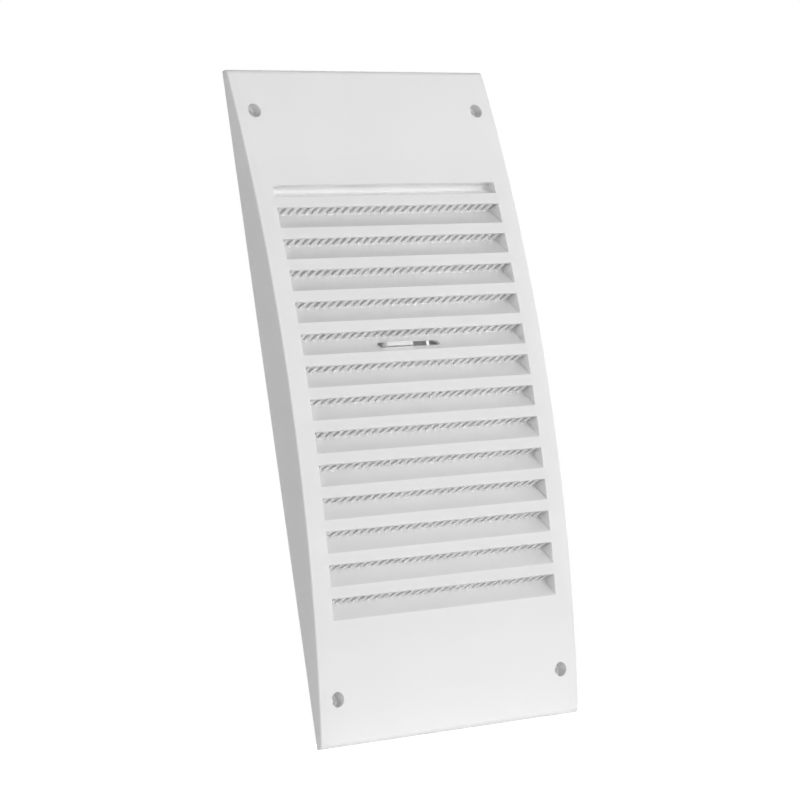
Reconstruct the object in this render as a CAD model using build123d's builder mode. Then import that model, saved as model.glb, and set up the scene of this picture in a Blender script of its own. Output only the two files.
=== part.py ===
from build123d import *
import math
import os

# Ventilation grille with a sliding shutter, for a wall opening. Sizes are in millimetres.
# X runs to the right, Y runs into the wall, Z runs up.
# The origin is the centre of the four screw holes, in the wall plane. The room side faces -Y.

# Cover: outline and bowed front
cover_width = 150.0
cover_height = 330.0
lip_depth = 4.0
bow_height = 17.3
skin = 2.0
side_wall = 2.0
end_wall = 2.0
end_round = 3.0
side_chamfer = 0.4

# Louvre rows
side_margin = 10.25
row_pitch = 15.75
strip_height = 5.35
strip_skin = 1.0
pocket_depth = 8.6
ceiling_drop = 2.0
louvre_wall = 1.6
nose_gap = 0.9

# Blind groove above the louvre rows
groove_height = 5.9
groove_depth = 7.3
groove_back = 2.5
groove_round = 2.0

# Slots in the ceiling of each pocket, with ribs left between them
rib_pitch = 4.38
slot_width = 2.2
slot_front_land = 0.3
slot_back_land = 0.2

# Screw holes with sunk heads
screw_edge_x = 10.0
screw_edge_z = 22.0
head_bore = 7.0
screw_hole = 4.2
boss_diameter = 10.4
boss_floor = 2.0

# Back plate, resting on ribs of the cover and held by its snap hooks
plate_side_gap = 0.4
plate_band = 18.0
plate_corner = 3.0
plate_thick = 1.2
plate_inset = 1.0
rest_rib = 1.6
hook_spacing = 45.0
hooks_across = 3
hook_width = 8.0
hook_thick = 1.6
hook_gap = 0.15
hook_grip = 0.9
hook_head = 0.9

# Windows in the back plate, and the bars of the shutter that close them
window_pitch = 37.3
window_width = 17.5
window_over = 1.7
windows_middle = -1.1
tie_z = -17.0
tie_height = 8.0
bar_overlap = 1.0
shutter_thick = 1.6
shutter_gap = 0.3
shutter_rail = 6.0
shutter_corner = 2.0
shown_open = 1.3

# Rails of the cover that the shutter slides between
guide_gap = 0.3
guide_thick = 2.0
guide_lip = 2.6
guide_lip_thick = 1.6

# Lever
lever_row = 5
lever_width = 15.5
lever_thick = 2.0
lever_reach = 3.4
lever_up_blade = 5.3
lever_end_gap = 0.7
lever_side_gap = 0.4
lever_corner = 1.0
lever_on_bar = -1.1

# Values that follow from the sizes above
half_width = cover_width / 2
half_height = cover_height / 2
bow_radius = (half_height ** 2 + bow_height ** 2) / (2 * bow_height)
bow_centre = bow_radius - bow_height - lip_depth
plate_width = cover_width - 2 * (side_wall + plate_side_gap)
plate_front = -plate_inset - plate_thick
shutter_back = plate_front - shutter_gap
shutter_front = shutter_back - shutter_thick
bar_width = window_width + 2 * bar_overlap
stroke = window_width + bar_overlap
shown_shift = bar_overlap + shown_open
lever_slot = lever_width + stroke + 2 * lever_end_gap
opening_width = cover_width - 2 * side_margin
screw_spacing_x = cover_width - 2 * screw_edge_x
screw_spacing_z = cover_height - 2 * screw_edge_z

# The rows fill the height in which the bow leaves their pockets room before the shutter
row_front = pocket_depth + louvre_wall + nose_gap - shutter_front
top_sill = math.sqrt(bow_radius ** 2 - (bow_centre + row_front) ** 2)
row_count = int((2 * top_sill - strip_height) / row_pitch) + 1
window_height = 2 * (top_sill + window_over)
shutter_height = window_height + 2 * shutter_rail
plate_height = window_height + 2 * plate_band

# As many windows as fit with the travel of the shutter
window_count = int((opening_width - bar_width - stroke) / window_pitch) + 1
windows_run = (window_count - 1) * window_pitch + bar_width + stroke
first_window = windows_middle - windows_run / 2 + bar_overlap


def front_y(z, inset=0.0):
    """Y of the bowed front at height z, or of a face that lies inset behind it."""
    return bow_centre - math.sqrt((bow_radius - inset) ** 2 - z ** 2)


def sill_z(row):
    """Height of the lower edge of a row's opening; row 0 is the blind groove."""
    return top_sill - row * row_pitch


def head_z(row):
    """Height of the upper edge of a ribbed row's opening."""
    return sill_z(row - 1) - strip_height


def pocket_tip(row):
    """Innermost line of a ribbed pocket, where ceiling and blade meet."""
    return front_y(head_z(row)) + pocket_depth, head_z(row) - ceiling_drop


def pocket_points(row, front_room):
    """Corners of a ribbed pocket in the YZ plane, open by front_room beyond the front."""
    tip = pocket_tip(row)
    head = (front_y(head_z(row)), head_z(row))
    sill = (front_y(sill_z(row)), sill_z(row))
    return [(head[0] - front_room, head[1]), head, tip, sill, (sill[0] - front_room, sill[1])]


def groove_points(front_room):
    """Corners of the blind groove in the YZ plane."""
    head = sill_z(0) + groove_height
    back = front_y(head) + groove_depth
    sill = (front_y(sill_z(0)), sill_z(0))
    return [(back - groove_depth - front_room, head), (back, head), (back, head - groove_back),
            sill, (sill[0] - front_room, sill[1])]


def slot_points(row):
    """Corners of a ceiling slot in the YZ plane: it follows the slope of the ceiling."""
    slope = ceiling_drop / pocket_depth
    rise = louvre_wall * math.hypot(1, slope) + cut_room
    ends = (strip_skin + slot_front_land, pocket_depth - slot_back_land)
    start, end = [(front_y(head_z(row)) + depth, head_z(row) - slope * depth) for depth in ends]
    return [(start[0], start[1] - cut_room), end, (end[0], end[1] + rise), (start[0], start[1] + rise)]


def bowed_side(inset, end_inset, back):
    """Fills the side view of the bowed body in the open sketch, inset from front and ends."""
    top = half_height - end_inset
    with BuildLine() as outline:
        Polyline((front_y(top, inset), top), (back, top), (back, -top), (front_y(top, inset), -top))
        ThreePointArc((front_y(top, inset), -top), (front_y(0, inset), 0), (front_y(top, inset), top))
    make_face(outline.edges())


def hook_points(side):
    """Corners of a snap hook in the YZ plane, above the back plate (side 1) or below it (-1)."""
    edge = plate_height / 2
    inner = edge + hook_gap
    outer = inner + hook_thick
    back = hook_head - plate_inset
    front = -lip_depth - bow_height
    corners = [(front, inner), (-plate_inset, inner), (-plate_inset, edge - hook_grip),
               (back, inner), (back, outer), (front, outer)]
    return [(y, side * z) for y, z in corners]


def pockets(room):
    """Fills all pockets and the groove in the open sketch, open by room beyond the front."""
    for row in rows:
        Polygon(*pocket_points(row, room), align=None)
    with BuildSketch(Plane.YZ, mode=Mode.PRIVATE) as groove:
        Polygon(*groove_points(room), align=None)
        deep = groove.vertices().group_by(Axis.Y)[-1].sort_by(Axis.Z)[0]
        fillet(deep, radius=groove_round)
    add(groove.sketch_local)


rows = range(1, row_count + 1)
cut_room = 0.3
front_room = 4.0
slot_count = int((opening_width - slot_width) / rib_pitch) + 1
slot_places = [(i - (slot_count - 1) / 2) * rib_pitch for i in range(slot_count)]
window_places = [first_window + window_width / 2 + i * window_pitch for i in range(window_count)]
upper_window = (tie_z + tie_height / 2, window_height / 2)
lower_window = (-window_height / 2, tie_z - tie_height / 2)
guide_z = shutter_height / 2 + guide_gap
rest_length = plate_height / 2 + hook_gap - guide_z
rest_spacing_z = plate_height / 2 + hook_gap + guide_z
hook_places = [(i - (hooks_across - 1) / 2) * hook_spacing for i in range(hooks_across)]

# Lever place, on the blade of its row
blade_foot = Vector(0, front_y(sill_z(lever_row)), sill_z(lever_row))
blade_head = Vector(0, *pocket_tip(lever_row))
lever_spot = blade_foot + (blade_head - blade_foot).normalized() * lever_up_blade
lever_tip_y = lever_spot.Y - lever_reach
lever_closed_x = window_places[window_count // 2] + lever_on_bar
lever_slot_middle = lever_closed_x + stroke / 2
lever_shown_x = lever_closed_x + shown_shift


# Space inside the cover, with everything that stays solid in it left out
with BuildPart() as hollow:
    with BuildSketch(Plane.YZ):
        bowed_side(skin, end_wall, cut_room)
    extrude(amount=half_width - side_wall, both=True)
    # Thinner strips between the louvre rows
    with BuildSketch(Plane.YZ):
        bowed_side(strip_skin, half_height - top_sill, cut_room)
    extrude(amount=opening_width / 2 + louvre_wall, both=True)
    # Walls round the pockets
    with BuildSketch(Plane.YZ):
        pockets(front_room)
        offset(amount=louvre_wall)
    extrude(amount=opening_width / 2 + louvre_wall, both=True, mode=Mode.SUBTRACT)
    # Screw bosses, through the whole depth
    with BuildSketch(Plane.XZ.offset(-cut_room)):
        with GridLocations(screw_spacing_x, screw_spacing_z, 2, 2):
            Circle(boss_diameter / 2)
    extrude(amount=lip_depth + bow_height, mode=Mode.SUBTRACT)
    # Ribs that the back plate rests on, from the guides to the hooks
    with BuildSketch(Plane.XZ.offset(-plate_front)):
        with GridLocations(hook_spacing, rest_spacing_z, hooks_across, 2):
            Rectangle(rest_rib, rest_length)
    extrude(amount=lip_depth + bow_height, mode=Mode.SUBTRACT)
    # Snap hooks over the upper and lower edge of the back plate
    with BuildSketch(*[Plane.YZ.offset(x) for x in hook_places]):
        for side in (-1, 1):
            Polygon(*hook_points(side), align=None)
    extrude(amount=hook_width / 2, both=True, mode=Mode.SUBTRACT)
    # Guide rails above and below the shutter, each with a lip in front of it
    with BuildSketch(Plane.YZ):
        for side in (-1, 1):
            with Locations(((plate_front - bow_height) / 2, side * (guide_z + guide_thick / 2))):
                Rectangle(plate_front + bow_height, guide_thick)
            lip_y = shutter_front - shutter_gap - guide_lip_thick / 2
            with Locations((lip_y, side * (guide_z - guide_lip / 2 + guide_thick / 2))):
                Rectangle(guide_lip_thick, guide_lip + guide_thick)
    extrude(amount=opening_width / 2 + louvre_wall, both=True, mode=Mode.SUBTRACT)


# Front cover: bowed face, louvre rows, bosses, guides, ribs and hooks, moulded as one piece
with BuildPart() as cover:
    with BuildSketch(Plane.YZ):
        bowed_side(0, 0, 0)
    extrude(amount=half_width, both=True)
    fillet(cover.edges().filter_by(Axis.X).group_by(Axis.Y)[0], radius=end_round)
    sides = cover.edges().filter_by(lambda e: abs(e.center().X) > half_width - 0.01)
    chamfer(sides.filter_by(lambda e: e.center().Y < -0.01), length=side_chamfer)
    add(hollow.part, mode=Mode.SUBTRACT)
    with BuildSketch(Plane.YZ):
        pockets(front_room)
    extrude(amount=opening_width / 2, both=True, mode=Mode.SUBTRACT)
    # Sunk screw holes
    with BuildSketch(Plane.XZ.offset(boss_floor)):
        with GridLocations(screw_spacing_x, screw_spacing_z, 2, 2):
            Circle(head_bore / 2)
    extrude(amount=lip_depth + bow_height, mode=Mode.SUBTRACT)
    with BuildSketch(Plane.XZ):
        with GridLocations(screw_spacing_x, screw_spacing_z, 2, 2):
            Circle(screw_hole / 2)
    extrude(amount=boss_floor, mode=Mode.SUBTRACT)
    # Slot for the lever, through the blade of its row
    with BuildSketch(Plane.XZ.offset(-pocket_tip(lever_row)[0])):
        with Locations((lever_slot_middle, lever_spot.Z)):
            SlotOverall(lever_slot, lever_thick + 2 * lever_side_gap)
    extrude(amount=pocket_depth, mode=Mode.SUBTRACT)
    # Slots between the ribs
    with BuildSketch(*[Plane.YZ.offset(x) for x in slot_places]):
        for row in rows:
            Polygon(*slot_points(row), align=None)
    extrude(amount=slot_width / 2, both=True, clean=False, mode=Mode.SUBTRACT)
cover.part.label = "cover"


def windows(places, width):
    """Cuts windows above and below the tie at the X places, in the open sketch."""
    for low, high in (lower_window, upper_window):
        with Locations(*[(x, (low + high) / 2) for x in places]):
            Rectangle(width, high - low, mode=Mode.SUBTRACT)


# Back plate: flat sheet with tall windows, fixed behind the shutter
with BuildPart() as back_plate:
    with BuildSketch(Plane.XZ.offset(plate_inset)):
        RectangleRounded(plate_width, plate_height, plate_corner)
        windows(window_places, window_width)
    extrude(amount=plate_thick)
back_plate.part.label = "back_plate"


# Shutter: sheet of bars that close the windows, with the lever on its middle bar
with BuildPart() as shutter:
    bars_middle = first_window + window_width / 2 + (window_count - 1) * window_pitch / 2 + shown_shift
    bars_width = (window_count - 1) * window_pitch + bar_width
    gap_places = [x + window_pitch / 2 + shown_shift for x in window_places[:-1]]
    with BuildSketch(Plane.XZ.offset(-shutter_back)):
        with Locations((bars_middle, 0)):
            RectangleRounded(bars_width, shutter_height, shutter_corner)
        windows(gap_places, window_pitch - bar_width)
    extrude(amount=shutter_thick)
    with BuildSketch(Plane.XY.offset(lever_spot.Z - lever_thick / 2)):
        with Locations((lever_shown_x, (shutter_back + lever_tip_y) / 2)):
            Rectangle(lever_width, shutter_back - lever_tip_y)
    extrude(amount=lever_thick)
    corners = shutter.edges().filter_by(Axis.Z).group_by(Axis.Y)[0]
    fillet(corners, radius=lever_corner)
shutter.part.label = "shutter"


os.makedirs("parts", exist_ok=True)
export_step(cover.part, "parts/cover.step")
export_step(back_plate.part, "parts/back_plate.step")
export_step(shutter.part, "parts/shutter.step")
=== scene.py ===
import math

import bpy
import numpy as np
from bpy.props import FloatProperty, FloatVectorProperty, IntProperty, PointerProperty
from mathutils import Matrix, Vector


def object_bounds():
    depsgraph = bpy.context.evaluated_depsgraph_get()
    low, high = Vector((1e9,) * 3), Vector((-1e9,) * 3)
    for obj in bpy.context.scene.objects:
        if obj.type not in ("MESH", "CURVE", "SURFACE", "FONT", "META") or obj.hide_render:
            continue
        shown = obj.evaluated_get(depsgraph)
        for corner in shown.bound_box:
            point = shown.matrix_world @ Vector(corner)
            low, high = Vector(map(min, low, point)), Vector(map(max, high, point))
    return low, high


bl_info = {
    "name": "Ventilation Grille Finish",
    "version": (1, 0, 0),
    "blender": (4, 5, 0),
    "location": "View3D > Sidebar > Grille",
    "description": "White moulded finish and studio for a ventilation grille",
    "category": "Object",
}

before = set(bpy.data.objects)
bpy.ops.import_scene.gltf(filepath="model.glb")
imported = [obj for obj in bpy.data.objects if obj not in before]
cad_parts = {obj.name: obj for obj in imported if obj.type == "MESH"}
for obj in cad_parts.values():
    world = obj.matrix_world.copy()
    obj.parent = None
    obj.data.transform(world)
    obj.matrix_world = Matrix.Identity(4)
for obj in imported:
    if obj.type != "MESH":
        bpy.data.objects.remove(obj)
cad_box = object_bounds()

# Rounding of edges
join_distance = 1e-6
sharp_turn = math.radians(25.0)

# Plastic
plastic_ior = 1.53
flow_tint = 0.988
dust_tint = np.array((0.86, 0.85, 0.83))

# Stage
sensor_width = 36.0
light_target = (0.0, -0.01, 0.0)
floor_tones = (0.81, 0.83)
floor_fade = (0.25, 1.2)


# Node helpers

def add_node(tree, kind, place, **values):
    """Adds a node of that kind at a place in the tree and sets its properties."""
    node = tree.nodes.new(kind)
    node.location = place
    for key, value in values.items():
        setattr(node, key, value)
    return node


def maths(tree, operation, place, first, second, clamp=False):
    """Adds a Math node; first and second are sockets or plain numbers. Gives its output."""
    node = add_node(tree, "ShaderNodeMath", place, operation=operation, use_clamp=clamp)
    for socket, value in zip(node.inputs, (first, second)):
        if isinstance(value, bpy.types.NodeSocket):
            tree.links.new(value, socket)
        else:
            socket.default_value = value
    return node.outputs[0]


def ramp_between(tree, place, value, low, high, to_low, to_high):
    """Adds a smooth Map Range node from low..high to to_low..to_high. Gives its output."""
    node = add_node(tree, "ShaderNodeMapRange", place, interpolation_type="SMOOTHSTEP")
    tree.links.new(value, node.inputs["Value"])
    limits = {"From Min": low, "From Max": high, "To Min": to_low, "To Max": to_high}
    for name, limit in limits.items():
        node.inputs[name].default_value = limit
    return node.outputs["Result"]


def noise(tree, place, vector, scale, detail, roughness=0.5):
    """Adds a Noise Texture read at the vector; scale is a socket or a number. Gives its factor."""
    node = add_node(tree, "ShaderNodeTexNoise", place)
    tree.links.new(vector, node.inputs["Vector"])
    if isinstance(scale, bpy.types.NodeSocket):
        tree.links.new(scale, node.inputs["Scale"])
    else:
        node.inputs["Scale"].default_value = scale
    node.inputs["Detail"].default_value = detail
    node.inputs["Roughness"].default_value = roughness
    return node.outputs["Fac"]


def colour_mix(tree, place, factor, first, second):
    """Adds a colour Mix node; first is a socket or a colour, second a colour. Gives its output."""
    node = add_node(tree, "ShaderNodeMix", place, data_type="RGBA")
    tree.links.new(factor, node.inputs["Factor"])
    if isinstance(first, bpy.types.NodeSocket):
        tree.links.new(first, node.inputs["A"])
    else:
        node.inputs["A"].default_value = (*first, 1.0)
    node.inputs["B"].default_value = (*second, 1.0)
    return node.outputs["Result"]


def group_tree(name, inputs, outputs):
    """A new shader node group with its sockets; gives the tree, its input and output nodes."""
    tree = bpy.data.node_groups.new(name, "ShaderNodeTree")
    for label, kind, default in inputs:
        socket = tree.interface.new_socket(name=label, in_out="INPUT", socket_type=kind)
        socket.default_value = default
    for label, kind in outputs:
        tree.interface.new_socket(name=label, in_out="OUTPUT", socket_type=kind)
    entry = add_node(tree, "NodeGroupInput", (-1200, 0))
    leave = add_node(tree, "NodeGroupOutput", (900, 0))
    return tree, entry, leave


# Materials

def moulded_skin_group():
    """Moulded skin: the slow waviness and fine texture that a polished tool leaves on plastic.

    Ripple is a slow noise about 8 mm wide, Grain a fine one under a millimetre wide. Height is
    their weighted sum, for a Bump node. Flow is a slow mask from 0 to 1, stretched along the
    height of the part as the melt ran, for colour.
    """
    name = "Moulded Skin"
    if name in bpy.data.node_groups:
        return bpy.data.node_groups[name]
    tree, entry, leave = group_tree(
        name,
        [("Vector", "NodeSocketVector", (0, 0, 0)), ("Ripple Scale", "NodeSocketFloat", 120.0),
         ("Grain Scale", "NodeSocketFloat", 1500.0), ("Grain Share", "NodeSocketFloat", 0.25)],
        [("Height", "NodeSocketFloat"), ("Flow", "NodeSocketFloat"), ("Grain", "NodeSocketFloat")],
    )
    vector = entry.outputs["Vector"]
    ripple = noise(tree, (-800, 200), vector, entry.outputs["Ripple Scale"], 2.0)
    grain = noise(tree, (-800, -50), vector, entry.outputs["Grain Scale"], 3.0)
    fine = maths(tree, "MULTIPLY", (-500, -50), grain, entry.outputs["Grain Share"])
    height = maths(tree, "ADD", (-250, 100), ripple, fine)
    stretch = add_node(tree, "ShaderNodeMapping", (-800, -350))
    stretch.inputs["Scale"].default_value = (1.0, 1.0, 0.35)
    tree.links.new(vector, stretch.inputs["Vector"])
    flow = noise(tree, (-550, -350), stretch.outputs["Vector"], 28.0, 3.0, 0.55)
    flow = ramp_between(tree, (-300, -350), flow, 0.3, 0.7, 0.0, 1.0)
    for label, socket in (("Height", height), ("Flow", flow), ("Grain", grain)):
        tree.links.new(socket, leave.inputs[label])
    return tree


def settled_dust_group():
    """Settled dust: a mask from 0 to 1 where fine dust would lie on faces that look up.

    The mask is the upward part of the surface normal, cut by a threshold and broken up by a
    fine noise.
    """
    name = "Settled Dust"
    if name in bpy.data.node_groups:
        return bpy.data.node_groups[name]
    tree, entry, leave = group_tree(
        name,
        [("Vector", "NodeSocketVector", (0, 0, 0)), ("Amount", "NodeSocketFloat", 0.2)],
        [("Mask", "NodeSocketFloat")],
    )
    geometry = add_node(tree, "ShaderNodeNewGeometry", (-900, -200))
    split = add_node(tree, "ShaderNodeSeparateXYZ", (-700, -200))
    tree.links.new(geometry.outputs["True Normal"], split.inputs["Vector"])
    upward = ramp_between(tree, (-450, -200), split.outputs["Z"], 0.25, 0.95, 0.0, 1.0)
    specks = noise(tree, (-700, 100), entry.outputs["Vector"], 420.0, 4.0, 0.6)
    specks = ramp_between(tree, (-450, 100), specks, 0.42, 0.68, 0.35, 1.0)
    mask = maths(tree, "MULTIPLY", (-200, 0), upward, specks)
    mask = maths(tree, "MULTIPLY", (0, 0), mask, entry.outputs["Amount"], clamp=True)
    tree.links.new(mask, leave.inputs["Mask"])
    return tree


def white_plastic(name, settings, shade, gloss_roughness, ripple, dust_amount):
    """White moulded plastic.

    shade multiplies the colour, gloss_roughness is the lowest and highest roughness, ripple the
    strength of the bump and dust_amount the most that dust covers.
    """
    material = bpy.data.materials.new(name)
    material.use_nodes = True
    tree = material.node_tree
    tree.nodes.clear()
    out = add_node(tree, "ShaderNodeOutputMaterial", (700, 0))
    shader = add_node(tree, "ShaderNodeBsdfPrincipled", (400, 0))
    tree.links.new(shader.outputs["BSDF"], out.inputs["Surface"])
    place = add_node(tree, "ShaderNodeTexCoord", (-900, 0))
    skin = add_node(tree, "ShaderNodeGroup", (-650, 100), node_tree=moulded_skin_group())
    dust = add_node(tree, "ShaderNodeGroup", (-650, -200), node_tree=settled_dust_group())
    dust.inputs["Amount"].default_value = dust_amount
    for group in (skin, dust):
        tree.links.new(place.outputs["Object"], group.inputs["Vector"])
    mask = dust.outputs["Mask"]
    colour = np.array(settings.colour) * shade
    tint = colour_mix(tree, (-250, 200), skin.outputs["Flow"], colour * flow_tint, colour)
    dusted = colour_mix(tree, (50, 200), mask, tint, colour * dust_tint)
    tree.links.new(dusted, shader.inputs["Base Color"])
    low, high = gloss_roughness
    rough = ramp_between(tree, (-250, -50), skin.outputs["Grain"], 0.3, 0.7, low, high)
    rough = maths(tree, "ADD", (50, -50), rough, mask, clamp=True)
    tree.links.new(rough, shader.inputs["Roughness"])
    bump = add_node(tree, "ShaderNodeBump", (50, -300))
    bump.inputs["Strength"].default_value = ripple
    bump.inputs["Distance"].default_value = settings.ripple_depth
    tree.links.new(skin.outputs["Height"], bump.inputs["Height"])
    tree.links.new(bump.outputs["Normal"], shader.inputs["Normal"])
    shader.inputs["IOR"].default_value = plastic_ior
    shader.inputs["Subsurface Weight"].default_value = settings.translucence
    shader.inputs["Subsurface Radius"].default_value = (1.0, 1.0, 1.0)
    shader.inputs["Subsurface Scale"].default_value = settings.light_depth
    return material


def wear_material(node, material):
    """Gives a carried node one material in all its slots."""
    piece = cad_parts[node]
    for place in piece.material_slots:
        place.material = material
    return piece


def soften_edges(piece, width, segments):
    """Rounds the sharp edges of a carried node by width, as a moulding's edges are.

    Its loose triangles are joined first, and only edges that turn by more than 25 degrees are
    rounded. Last, each corner is shaded by its largest faces, which keeps flat faces flat and
    the bow smooth.
    """
    weld = piece.modifiers.new("Joined", "WELD")
    weld.merge_threshold = join_distance
    bevel = piece.modifiers.new("Moulded Edges", "BEVEL")
    bevel.width = width
    bevel.segments = segments
    bevel.limit_method = "ANGLE"
    bevel.angle_limit = sharp_turn
    bevel.use_clamp_overlap = True
    smooth = piece.modifiers.new("Even Shading", "WEIGHTED_NORMAL")
    smooth.mode = "FACE_AREA"
    smooth.keep_sharp = False


# Settings

class GrilleFinishSettings(bpy.types.PropertyGroup):
    """Colour and surface of the mouldings."""

    colour: FloatVectorProperty(
        name="Plastic Colour", description="Base colour of the white plastic",
        subtype="COLOR", size=3, min=0.0, max=1.0, default=(0.92, 0.92, 0.922))
    translucence: FloatProperty(
        name="Translucence", description="Share of the light that enters the plastic",
        subtype="FACTOR", default=0.5, min=0.0, max=1.0)
    light_depth: FloatProperty(
        name="Light Depth", description="How deep light spreads in the plastic",
        unit="LENGTH", default=0.0025, min=0.0, precision=4)
    edge_round: FloatProperty(
        name="Edge Rounding", description="Radius of the rounded edges of the cover",
        unit="LENGTH", default=0.00022, min=0.0, precision=5)
    sheet_edge_round: FloatProperty(
        name="Sheet Edge Rounding", description="Radius of the rounded edges of plate and shutter",
        unit="LENGTH", default=0.00018, min=0.0, precision=5)
    edge_steps: IntProperty(
        name="Edge Steps", description="Flats along each rounded edge", default=2, min=1, max=4)
    ripple_depth: FloatProperty(
        name="Ripple Depth", description="Depth of the waviness of the moulded skin",
        unit="LENGTH", default=0.00012, min=0.0, precision=5)


class GrilleStudioSettings(bpy.types.PropertyGroup):
    """Camera, floor and light."""

    azimuth: FloatProperty(
        name="View Azimuth", description="Turn of the view from straight ahead, from the left",
        unit="ROTATION", default=math.radians(33.08))
    tilt: FloatProperty(
        name="View Tilt", description="How far the view looks up",
        unit="ROTATION", default=math.radians(6.91))
    roll: FloatProperty(
        name="View Roll", description="Turn of the picture about the view's axis",
        unit="ROTATION", default=math.radians(8.32))
    camera_place: FloatVectorProperty(
        name="Camera Place", description="Place of the camera from the screw holes' centre",
        subtype="TRANSLATION", unit="LENGTH", size=3, default=(-0.70981, -1.08855, -0.15910))
    lens: FloatProperty(
        name="Lens", description="Focal length in millimetres on a 36 mm sensor", default=119.61)
    floor_gap: FloatProperty(
        name="Floor Gap", description="Gap between the grille's lower end and the floor",
        unit="LENGTH", default=0.0005)
    floor_size: FloatProperty(
        name="Floor Size", description="Side of the square floor", unit="LENGTH", default=16.0)
    floor_lift: FloatProperty(
        name="Floor Lift", description="White added to the floor near the grille where it is seen",
        default=0.85, min=0.0)
    surround: FloatProperty(
        name="Surround Light", description="Strength of the even light from all round",
        default=0.03, min=0.0)
    front_light: FloatProperty(
        name="Front Light", description="Power of the large light in front", unit="POWER",
        default=13.7, min=0.0)
    under_light: FloatProperty(
        name="Under Light", description="Power of the light below the floor, which lets it through",
        unit="POWER", default=1.6, min=0.0)
    back_light: FloatProperty(
        name="Back Light", description="Power of the light behind the grille", unit="POWER",
        default=7.5, min=0.0)
    left_light: FloatProperty(
        name="Left Light", description="Power of the light on the left", unit="POWER",
        default=8.6, min=0.0)
    right_light: FloatProperty(
        name="Right Light", description="Power of the light on the right", unit="POWER",
        default=9.8, min=0.0)


# Pieces

class GRILLE_OT_cover(bpy.types.Operator):
    """Finish the front cover: rounded edges and glossy white plastic"""

    bl_idname = "grille.cover"
    bl_label = "Cover"

    def execute(self, context):
        settings = context.scene.grille_finish
        material = white_plastic(
            "Cover Plastic", settings, shade=1.0, gloss_roughness=(0.09, 0.14), ripple=0.10,
            dust_amount=0.04)
        cover = wear_material("cover", material)
        soften_edges(cover, settings.edge_round, settings.edge_steps)
        return {"FINISHED"}


class GRILLE_OT_back_plate(bpy.types.Operator):
    """Finish the back plate: rounded edges and plain white sheet"""

    bl_idname = "grille.back_plate"
    bl_label = "Back Plate"

    def execute(self, context):
        settings = context.scene.grille_finish
        material = white_plastic(
            "Back Plate Plastic", settings, shade=0.96, gloss_roughness=(0.34, 0.44), ripple=0.14,
            dust_amount=0.08)
        plate = wear_material("back_plate", material)
        soften_edges(plate, settings.sheet_edge_round, settings.edge_steps)
        return {"FINISHED"}


class GRILLE_OT_shutter(bpy.types.Operator):
    """Finish the shutter and its lever: rounded edges and glossy white plastic"""

    bl_idname = "grille.shutter"
    bl_label = "Shutter"

    def execute(self, context):
        settings = context.scene.grille_finish
        material = white_plastic(
            "Shutter Plastic", settings, shade=1.0, gloss_roughness=(0.12, 0.18), ripple=0.10,
            dust_amount=0.04)
        shutter = wear_material("shutter", material)
        soften_edges(shutter, settings.sheet_edge_round, settings.edge_steps)
        return {"FINISHED"}


# Stage

def look_matrix(settings):
    """Turn of the camera: the view's azimuth, then its tilt up, then its roll.

    The view looks along (sin a cos t, cos a cos t, sin t). Its right side starts level and is
    turned about that line by the roll.
    """
    a, t, r = settings.azimuth, settings.tilt, settings.roll
    ahead = Vector((math.sin(a) * math.cos(t), math.cos(a) * math.cos(t), math.sin(t)))
    level = Vector((math.cos(a), -math.sin(a), 0.0))
    above = level.cross(ahead)
    right = level * math.cos(r) - above * math.sin(r)
    up = right.cross(ahead)
    return Matrix((right, up, -ahead)).transposed().to_4x4()


def area_light(name, place, width, height, power):
    """A soft rectangular light at a place, turned to the grille's middle."""
    lamp = bpy.data.lights.new(name, "AREA")
    lamp.shape = "RECTANGLE"
    lamp.size = width
    lamp.size_y = height
    lamp.energy = power
    light = bpy.data.objects.new(name, lamp)
    light.location = place
    light.rotation_mode = "QUATERNION"
    light.rotation_quaternion = (Vector(light_target) - Vector(place)).to_track_quat("-Z", "Y")
    light.visible_camera = False
    light.visible_glossy = False
    bpy.context.scene.collection.objects.link(light)


def seen_rays(tree, place):
    """1 for rays from the camera and clear parts, and a second socket with 1 for mirror rays."""
    path = add_node(tree, "ShaderNodeLightPath", place)
    seen = maths(tree, "MAXIMUM", (place[0] + 200, place[1]),
                 path.outputs["Is Camera Ray"], path.outputs["Is Transmission Ray"])
    return seen, path.outputs["Is Glossy Ray"]


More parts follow.
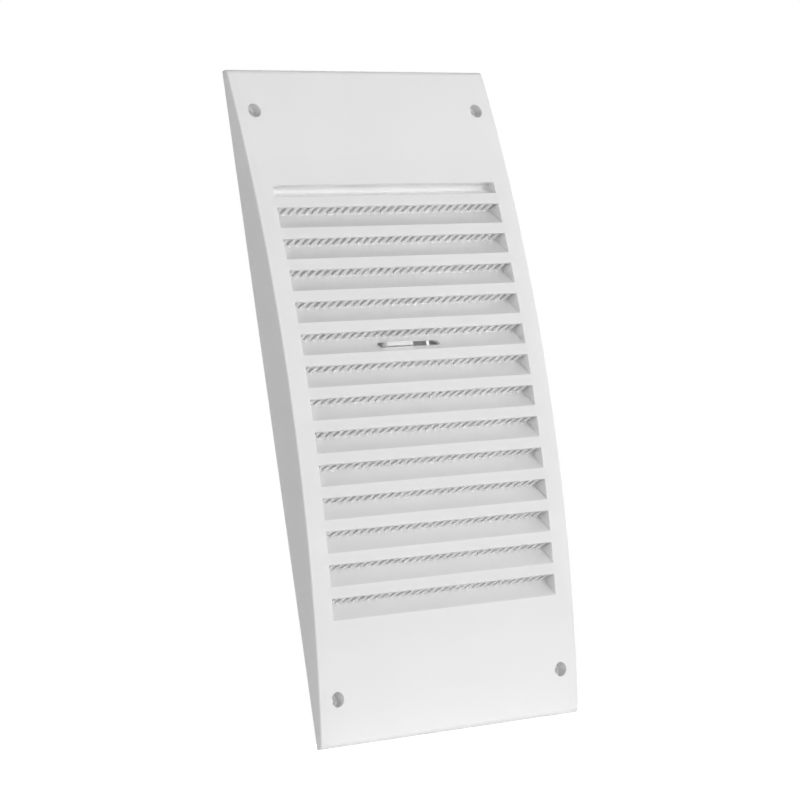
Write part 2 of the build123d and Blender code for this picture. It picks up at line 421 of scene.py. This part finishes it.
class GRILLE_OT_stage(bpy.types.Operator):
    """Make the camera, the pale floor, the white surround and the soft lights"""

    bl_idname = "grille.stage"
    bl_label = "Stage"

    def execute(self, context):
        settings = context.scene.grille_studio
        self.make_camera(context, settings)
        self.make_world(context, settings)
        self.make_floor(context, settings)
        lamps = (
            ("Front Light", (0.25, -1.5, 0.0), 1.3, 0.9, settings.front_light),
            ("Under Light", (-0.15, -1.2, -0.75), 1.2, 1.0, settings.under_light),
            ("Back Light", (0.2, 1.4, 0.3), 1.2, 0.9, settings.back_light),
            ("Left Light", (-1.6, -0.25, 0.0), 0.9, 1.0, settings.left_light),
            ("Right Light", (1.5, -0.7, 0.2), 0.9, 1.0, settings.right_light),
        )
        for lamp in lamps:
            area_light(*lamp)
        context.scene.view_settings.view_transform = "Standard"
        return {"FINISHED"}

    def make_camera(self, context, settings):
        """The camera at the photo's viewing angle."""
        data = bpy.data.cameras.new("Camera")
        data.lens = settings.lens
        data.sensor_width = sensor_width
        data.clip_start = 0.01
        data.clip_end = 100.0
        camera = bpy.data.objects.new("Camera", data)
        context.scene.collection.objects.link(camera)
        camera.matrix_world = Matrix.Translation(settings.camera_place) @ look_matrix(settings)
        context.scene.camera = camera

    def make_world(self, context, settings):
        """A surround that looks white and lights the grille only by its own strength."""
        world = bpy.data.worlds.new("Surround")
        world.use_nodes = True
        tree = world.node_tree
        tree.nodes.clear()
        out = add_node(tree, "ShaderNodeOutputWorld", (600, 0))
        seen, glossy = seen_rays(tree, (-500, 200))
        mix = add_node(tree, "ShaderNodeMixShader", (350, 0))
        tree.links.new(maths(tree, "MAXIMUM", (-100, 200), seen, glossy), mix.inputs[0])
        for entry, strength, height in ((1, settings.surround, 100), (2, 1.0, -100)):
            light = add_node(tree, "ShaderNodeBackground", (100, height))
            light.inputs["Color"].default_value = (1.0, 1.0, 1.0, 1.0)
            light.inputs["Strength"].default_value = strength
            tree.links.new(light.outputs[0], mix.inputs[entry])
        tree.links.new(mix.outputs[0], out.inputs["Surface"])
        context.scene.world = world

    def make_floor(self, context, settings):
        """A pale square floor just under the grille, seen as full white farther off."""
        half = settings.floor_size / 2
        x = np.array((half, half, -half, -half))
        y = np.array((-half, half, half, -half))
        z = np.full(4, cad_box[0][2] - settings.floor_gap)
        mesh = bpy.data.meshes.new("Floor")
        mesh.from_pydata(np.stack((x, y, z), axis=-1).tolist(), [], [(0, 1, 2, 3)])
        floor = bpy.data.objects.new("Floor", mesh)
        context.scene.collection.objects.link(floor)
        mesh.materials.append(self.floor_material(settings))
        floor.visible_shadow = False

    def floor_material(self, settings):
        """Mottled pale paper, with white added for the rays that see it."""
        material = bpy.data.materials.new("Pale Floor")
        material.use_nodes = True
        tree = material.node_tree
        tree.nodes.clear()
        out = add_node(tree, "ShaderNodeOutputMaterial", (700, 0))
        paper = add_node(tree, "ShaderNodeBsdfDiffuse", (100, 100))
        place = add_node(tree, "ShaderNodeTexCoord", (-700, 300))
        mottle = noise(tree, (-450, 300), place.outputs["Object"], 6.0, 2.0)
        mottle = ramp_between(tree, (-200, 300), mottle, 0.3, 0.7, 0.0, 1.0)
        dark, pale = floor_tones
        tone = colour_mix(tree, (-50, 150), mottle, (dark, dark, dark), (pale, pale, pale))
        tree.links.new(tone, paper.inputs["Color"])
        lift = add_node(tree, "ShaderNodeEmission", (100, -100))
        seen, glossy = seen_rays(tree, (-700, -200))
        away = add_node(tree, "ShaderNodeVectorMath", (-700, 0), operation="LENGTH")
        tree.links.new(place.outputs["Object"], away.inputs[0])
        fade = ramp_between(
            tree, (-450, 0), away.outputs["Value"], *floor_fade, settings.floor_lift, 1.0)
        seen = maths(tree, "MULTIPLY", (-250, -200), seen, fade)
        seen = maths(tree, "MAXIMUM", (-80, -200), seen, glossy)
        tree.links.new(seen, lift.inputs["Strength"])
        both = add_node(tree, "ShaderNodeAddShader", (450, 0))
        tree.links.new(paper.outputs[0], both.inputs[0])
        tree.links.new(lift.outputs[0], both.inputs[1])
        tree.links.new(both.outputs[0], out.inputs["Surface"])
        return material


class GRILLE_PT_panel(bpy.types.Panel):
    """Panel in the sidebar of the 3D view."""

    bl_idname = "GRILLE_PT_panel"
    bl_label = "Ventilation Grille"
    bl_space_type = "VIEW_3D"
    bl_region_type = "UI"
    bl_category = "Grille"

    def draw(self, context):
        layout = self.layout
        for title, settings, operators in (
                ("Finish", context.scene.grille_finish, piece_operators),
                ("Studio", context.scene.grille_studio, stage_operators)):
            box = layout.box()
            box.label(text=title)
            for name in settings.__annotations__:
                box.prop(settings, name)
            for operator in operators:
                box.operator(operator.bl_idname)


piece_operators = (GRILLE_OT_cover, GRILLE_OT_back_plate, GRILLE_OT_shutter)
stage_operators = (GRILLE_OT_stage,)
classes = (
    GrilleFinishSettings, GrilleStudioSettings, *piece_operators, *stage_operators, GRILLE_PT_panel)


def register():
    for item in classes:
        bpy.utils.register_class(item)
    bpy.types.Scene.grille_finish = PointerProperty(type=GrilleFinishSettings)
    bpy.types.Scene.grille_studio = PointerProperty(type=GrilleStudioSettings)


def unregister():
    del bpy.types.Scene.grille_studio
    del bpy.types.Scene.grille_finish
    for item in reversed(classes):
        bpy.utils.unregister_class(item)


def main():
    """Registers the add-on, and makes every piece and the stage."""
    register()
    bpy.ops.grille.cover()
    bpy.ops.grille.back_plate()
    bpy.ops.grille.shutter()
    bpy.ops.grille.stage()
    bpy.context.view_layer.update()


if __name__ == "__main__":
    main()
